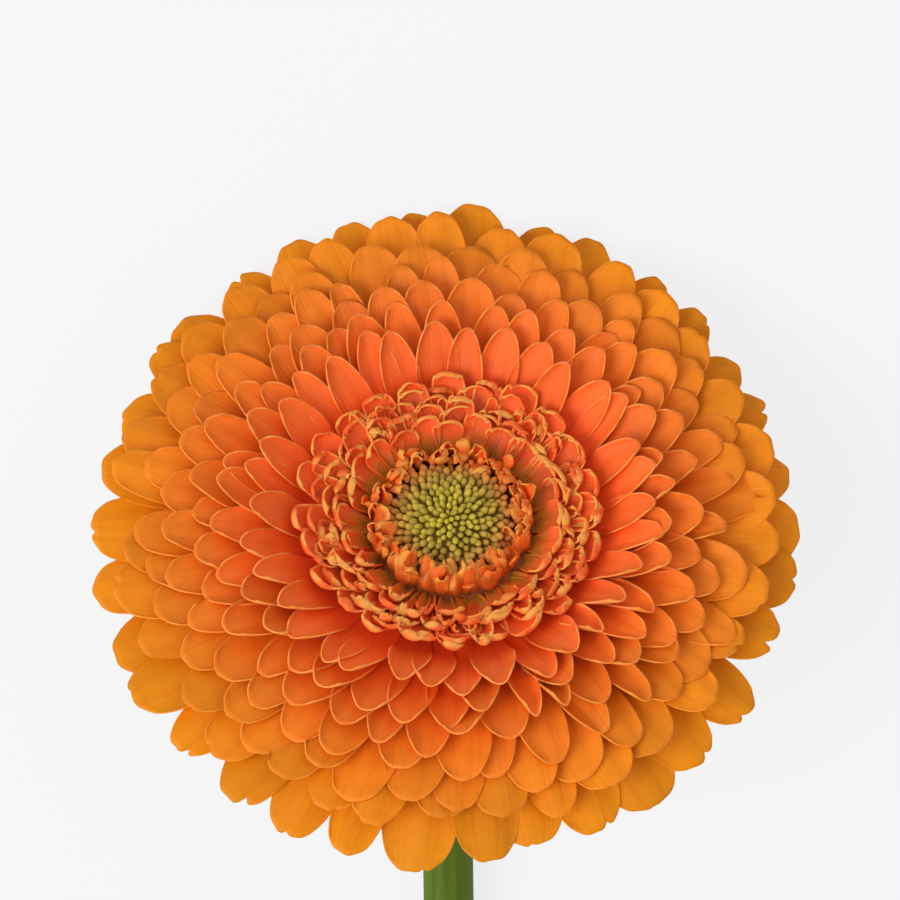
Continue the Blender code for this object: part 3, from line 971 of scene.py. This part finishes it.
# the cup under the head and its rows of bracts; each row has its place, 0 the lower and 1 the
# upper of the frame's two, and the share of a pitch that it is turned by
bracts = {
    "inRow": 21, "rows": ((0, 0), (1, 0.5), (0.5, 0.375), (-0.5, -0.25), (-1, -0.5)),
    "thickness": 0.4 * mm, "marginWidth": 0.18, "marginStrength": 0.5,
    "leaf": linearColour(92, 118, 44), "tip": linearColour(120, 100, 60),
    "edge": linearColour(150, 168, 96), "under": linearColour(104, 128, 56),
}
cup = {
    "profile": (
        (0, -16.0), (3.6, -16.0), (4.6, -15.8), (7.0, -15.0), (9.0, -13.9), (10.6, -12.8),
        (12.0, -11.5), (12.7, -10.2), (12.3, -9.1), (0, -8.9),
    ),
    "steps": 48, "deep": linearColour(80, 104, 38), "pale": linearColour(116, 136, 60),
}


def bractRow(number):
    return {
        "rootRadius": mixed(8.2, 11.0, number),
        "rootHeight": mixed(-13.9, -11.6, number),
        "rootSlope": mixed(24, 20, number),
        "tipRadius": mixed(14.4, 18.6, number),
        "tipHeight": mixed(-10.6, -8.6, number),
        "tipSlope": mixed(42, 24, number),
        "width": mixed(3.0, 3.4, number),
    }


bractForm = {
    "across": 6, "rows": 9, "fullness": 0.95, "rootWidth": 0.9, "peak": 0.3, "blunt": 1.25,
    "tipWidth": 0.3, "notch": 0, "ragged": 0, "cup": -0.25,
    "lip": 0.05, "fold": 0.02, "ruffle": 0.08, "curlStart": 0.6, "curl": 0.15, "curlSpread": 0.2,
    "twist": 0.1, "tubeRise": 1, "riseStart": 0, "lift": 0.4, "reachSpread": 0, "curlShare": 1,
    "stray": 0, "widthSpread": 0.05, "narrow": 0,
}
bm, marks = startBlades()
rng = random.Random(head["seed"] + 2)
for number, turned in bracts["rows"]:
    for k in range(bracts["inRow"]):
        chance = chances(rng)
        angle = (k + turned) * math.tau / bracts["inRow"]
        growBlade(bm, marks, bractRow(number), bractForm, angle, chance, whims(ownRng))
bractColours = [bracts[part] for part in ("leaf", "tip", "edge", "under")]
bractMaterial = petalMaterial(
    "bract", bractColours, bracts["marginWidth"], bracts["marginStrength"]
)
finishBlades("bracts", bm, marks, bracts["thickness"], bractMaterial, "involucre")

bm = bmesh.new()
turnedShape(bm, cup["profile"], cup["steps"])
cupMaterial = mottledMaterial("cup", 0.6, 700, cup["deep"], cup["pale"])
finishPiece("cup", bm, cupMaterial, "involucre")
print("cup and bracts made")

# the stem: down from the head, round the neck's bend, then along the floor in a slow bow
stem = {
    "radius": 3.5 * mm, "sides": 52, "neckSwell": 1.14, "neckStraight": 2 * mm, "base": -16 * mm,
    "straight": 130 * mm, "bow": 5 * mm, "aside": 0.5 * mm, "gap": 0.3 * mm,
    "bendSteps": 18, "swellSteps": 12, "straightSteps": 26, "sharp": math.radians(35),
    "ribs": ((8, 0.018), (13, 0.006)),  # how many, and their depth as a share of the radius
    "cutSlant": math.radians(24),
    "colour": linearColour(72, 96, 12), "paler": linearColour(90, 112, 24),
    "flesh": linearColour(178, 188, 116), "fleshCore": linearColour(150, 164, 88),
    # the cut face: share of the radius, and depth in millimetres
    "cutSteps": ((0.93, 0), (0.88, 0.06), (0.42, 0.06), (0.34, 0.3), (0.28, 1.5)),
}


def stemLine():
    rest = stem["radius"]
    lean = head["lean"] - math.pi / 2
    away = Vector((0, math.cos(lean), -math.sin(lean)))
    top = placed(Vector((0, 0, stem["base"] - stem["gap"])))
    neck = top - away * stem["neckStraight"]
    bend = (neck.z - rest) / (1 - math.cos(lean))
    line = [(top, stem["neckSwell"]), (neck, stem["neckSwell"])]
    for k in range(1, stem["bendSteps"] + 1):
        share = k / stem["bendSteps"]
        turn = lean * (1 - share)
        y = neck.y - bend * (math.sin(turn) - math.sin(lean))
        z = rest + bend * (1 - math.cos(turn))
        swell = mixed(stem["neckSwell"], 1, min(1, k / stem["swellSteps"]))
        line.append((Vector((neck.x - stem["aside"] * share, y, z)), swell))
    foot = line[-1][0]
    for k in range(1, stem["straightSteps"] + 1):
        share = k / stem["straightSteps"]
        line.append((foot + Vector((stem["bow"] * share**2, -stem["straight"] * share, 0)), 1))
    return line


def alongLine(line, k):
    before, after = line[max(0, k - 1)][0], line[min(len(line) - 1, k + 1)][0]
    return (after - before).normalized()


line = stemLine()
bm = bmesh.new()
flesh = bm.verts.layers.float.new("flesh")
rings = []
for k, (centre, swell) in enumerate(line):
    way = alongLine(line, k)
    across = (Vector((1, 0, 0)) - way * way.x).normalized()
    over = way.cross(across)
    radius = stem["radius"] * swell
    ring = bmesh.ops.create_circle(bm, segments=stem["sides"], radius=radius)["verts"]
    for vert in ring:
        turn = math.atan2(vert.co.y, vert.co.x)
        ribbed = 1 - sum(depth * (1 + math.cos(count * turn)) for count, depth in stem["ribs"])
        vert.co = centre + (across * vert.co.x + over * vert.co.y) * ribbed
        if k == len(line) - 1:
            vert.co.y += (vert.co.z - centre.z) * math.tan(stem["cutSlant"])
    rings.append(ring)
edges = [list(dict.fromkeys(e for v in ring for e in v.link_edges)) for ring in rings]
for first, second in zip(edges, edges[1:]):
    bmesh.ops.bridge_loops(bm, edges=first + second)
bmesh.ops.contextual_create(bm, geom=edges[0])
# the cut face, drawn in step by step to a shallow hollow, with the flesh mark at 1
loop = edges[-1]
sizeBefore, depthBefore = 1, 0
for size, depth in stem["cutSteps"]:
    made = bmesh.ops.extrude_edge_only(bm, edges=loop)["geom"]
    ring = [part for part in made if isinstance(part, bmesh.types.BMVert)]
    inRing = set(ring)
    around = dict.fromkeys(e for v in ring for e in v.link_edges)
    loop = [edge for edge in around if inRing.issuperset(edge.verts)]
    for vert in ring:
        vert.co = centre + (vert.co - centre) * (size / sizeBefore)
        vert.co -= way * (depth - depthBefore) * mm
        vert[flesh] = 1
    sizeBefore, depthBefore = size, depth
bmesh.ops.contextual_create(bm, geom=loop)
bmesh.ops.recalc_face_normals(bm, faces=bm.faces)
for edge in bm.edges:
    edge.smooth = edge.calc_face_angle(0) < stem["sharp"]
stemMaterial, tree, shader = newMaterial("stemSkin", 0.55)
shader.inputs["Specular IOR Level"].default_value = 0.2
coordinates = addNode(tree, "ShaderNodeTexCoord", (-1200, 0))
stretch = addNode(tree, "ShaderNodeMapping", (-1000, 0))
stretch.inputs["Scale"].default_value = (900, 60, 900)
tree.links.new(coordinates.outputs["Object"], stretch.inputs["Vector"])
noise = addNode(tree, "ShaderNodeTexNoise", (-800, 0))
noise.inputs["Scale"].default_value = 1
noise.inputs["Detail"].default_value = 4
tree.links.new(stretch.outputs["Vector"], noise.inputs["Vector"])
streaks = mapRange(tree, noise.outputs["Fac"], 0.3, 0.75, 0, 1, (-600, 0))
skinColour = mixColours(tree, streaks, stem["colour"], stem["paler"], (-450, 0))
fleshColour = mixColours(tree, streaks, stem["flesh"], stem["fleshCore"], (-450, 250))
tree.links.new(
    mixColours(tree, readMark(tree, "flesh", (-600, 200)), skinColour, fleshColour, (-250, 100)),
    shader.inputs["Base Color"],
)
bump = addNode(tree, "ShaderNodeBump", (-300, -300))
bump.inputs["Strength"].default_value = 0.4
bump.inputs["Distance"].default_value = 0.1 * mm
tree.links.new(noise.outputs["Fac"], bump.inputs["Height"])
tree.links.new(bump.outputs["Normal"], shader.inputs["Normal"])
finishPiece("stem", bm, stemMaterial, "stem")
print("stem made")

# a plain pale floor and soft light from the left; each light has its place from the head's
# centre, its size and its power
stage = {
    "floorSize": 3.0, "floorColour": (0.13, 0.13, 0.13, 1), "glowColour": (0.98, 0.99, 1, 1),
    "glow": 0.79, "world": 0.65,
    "keyLight": ((-0.78, -0.12, 0.95), 0.8, 9.6), "fillLight": ((0.4, 0.3, 1.1), 0.9, 0.7),
}
bm = bmesh.new()
bmesh.ops.create_grid(bm, x_segments=1, y_segments=1, size=stage["floorSize"])
mesh = bpy.data.meshes.new("floor")
bm.to_mesh(mesh)
bm.free()
floorMaterial, tree, shader = newMaterial("floor", 0.9)
shader.inputs["Base Color"].default_value = stage["floorColour"]
shader.inputs["Specular IOR Level"].default_value = 0.1
shader.inputs["Emission Color"].default_value = stage["glowColour"]
shader.inputs["Emission Strength"].default_value = stage["glow"]
mesh.materials.append(floorMaterial)
floorObject = bpy.data.objects.new("floor", mesh)
bpy.context.scene.collection.objects.link(floorObject)

world = bpy.data.worlds.new("world")
world.use_nodes = True
world.node_tree.nodes["Background"].inputs["Color"].default_value = (1, 1, 1, 1)
world.node_tree.nodes["Background"].inputs["Strength"].default_value = stage["world"]
bpy.context.scene.world = world

for name in ("keyLight", "fillLight"):
    place, size, power = stage[name]
    data = bpy.data.lights.new(name, "AREA")
    data.shape = "SQUARE"
    data.size = size
    data.energy = power
    light = bpy.data.objects.new(name, data)
    bpy.context.scene.collection.objects.link(light)
    light.location = head["centre"] + Vector(place)
    light.rotation_euler = (-Vector(place)).to_track_quat("-Z", "Y").to_euler()
print("stage and lights made")
